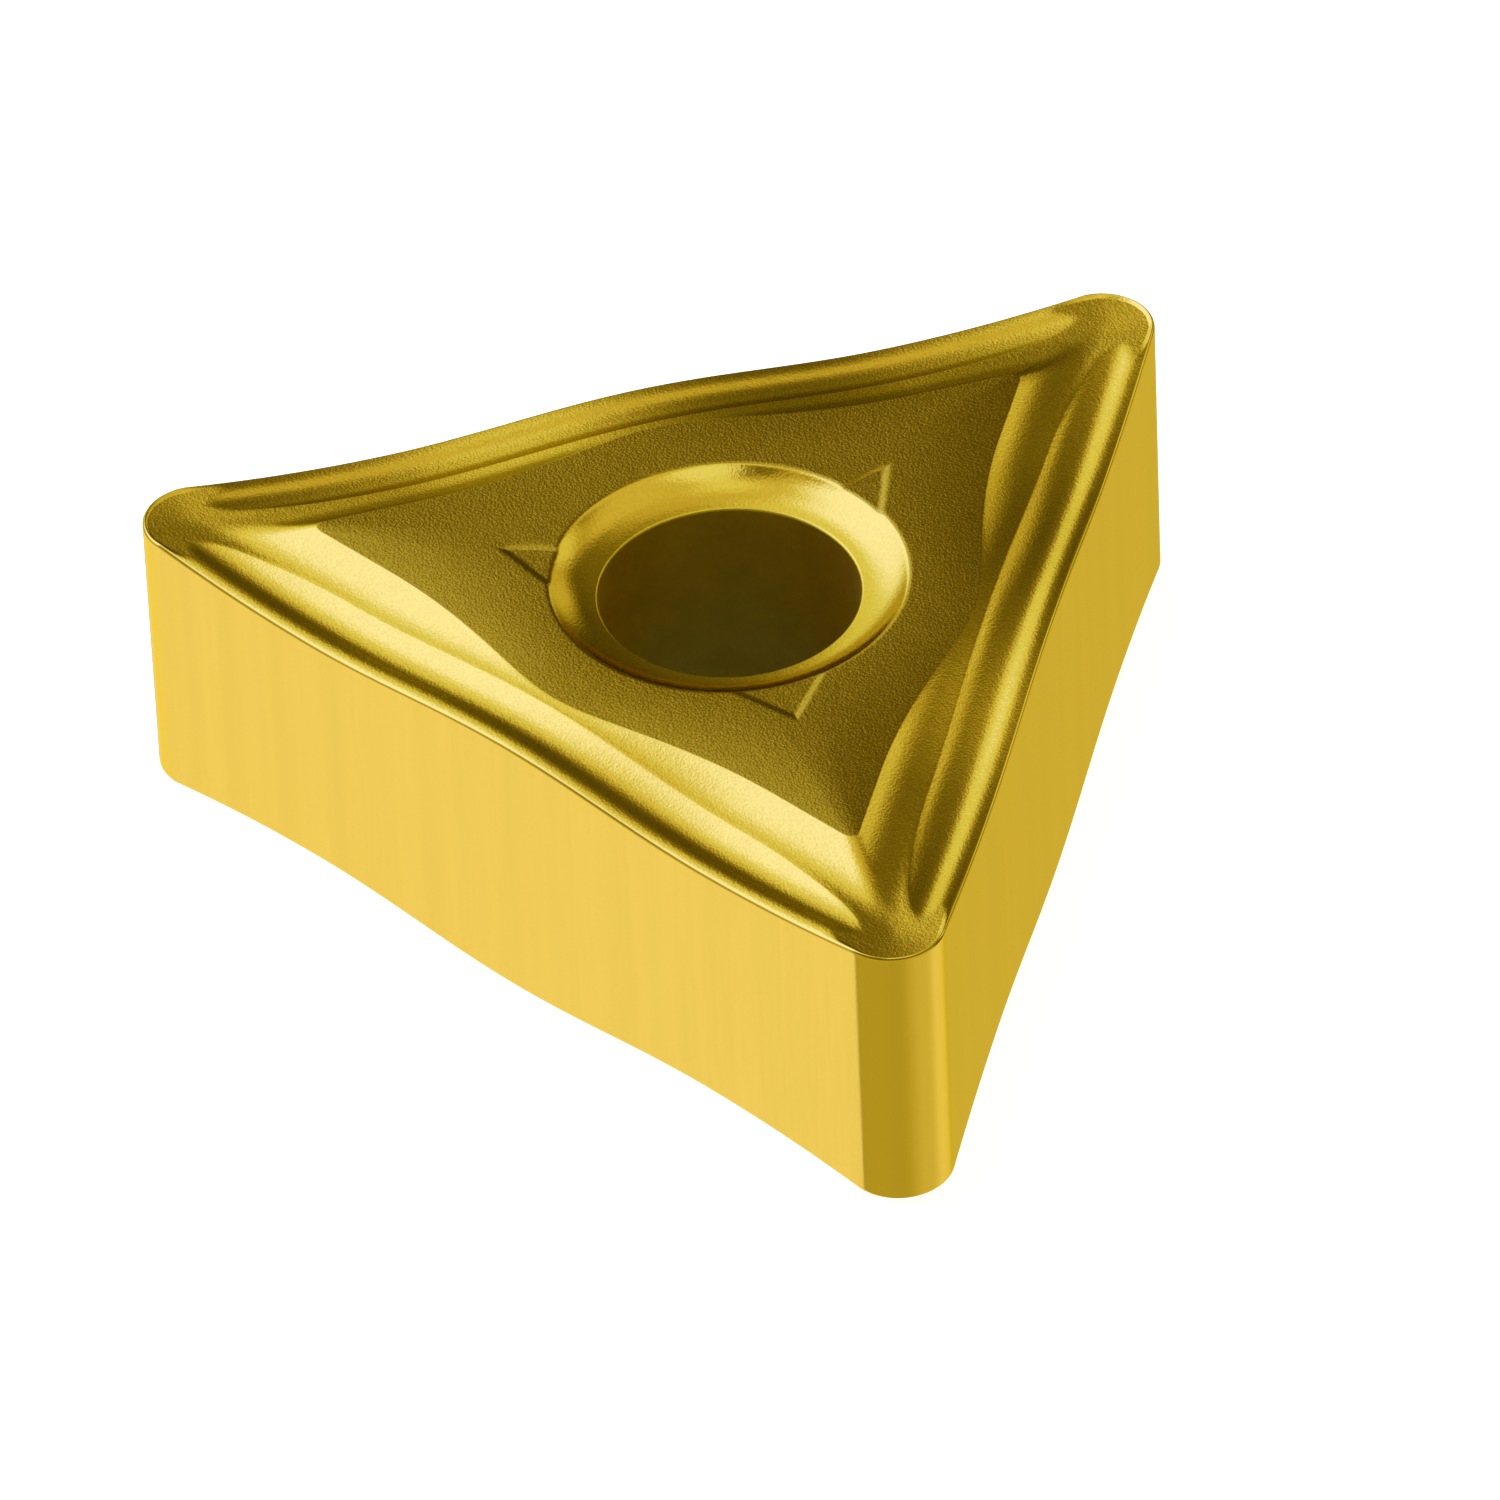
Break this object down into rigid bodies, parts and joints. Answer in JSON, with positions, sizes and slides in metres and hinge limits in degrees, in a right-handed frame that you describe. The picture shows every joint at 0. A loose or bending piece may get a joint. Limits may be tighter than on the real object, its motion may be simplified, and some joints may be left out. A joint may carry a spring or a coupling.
{
  "type": "carbide turning insert",
  "caption": "Triangular double-sided carbide turning insert with rounded noses, a waved cutting edge, a pressed chip breaker, a countersunk clamping bore and a gold-coloured coat.",
  "frame": {"origin": "on the bore axis at the mid-plane between the two seats", "axes": "+Z along the bore axis, out of the upper seat; +X along the back edge; one nose points along -Y"},
  "size_m": [0.0154, 0.0135, 0.0048],
  "materials": {
    "coated_carbide": "satin, gold-coloured hard coat over a pressed and sintered surface, ground flanks"
  },
  "bodies": {
    "root": {"insert": "coated_carbide"}
  },
  "joints": []
}
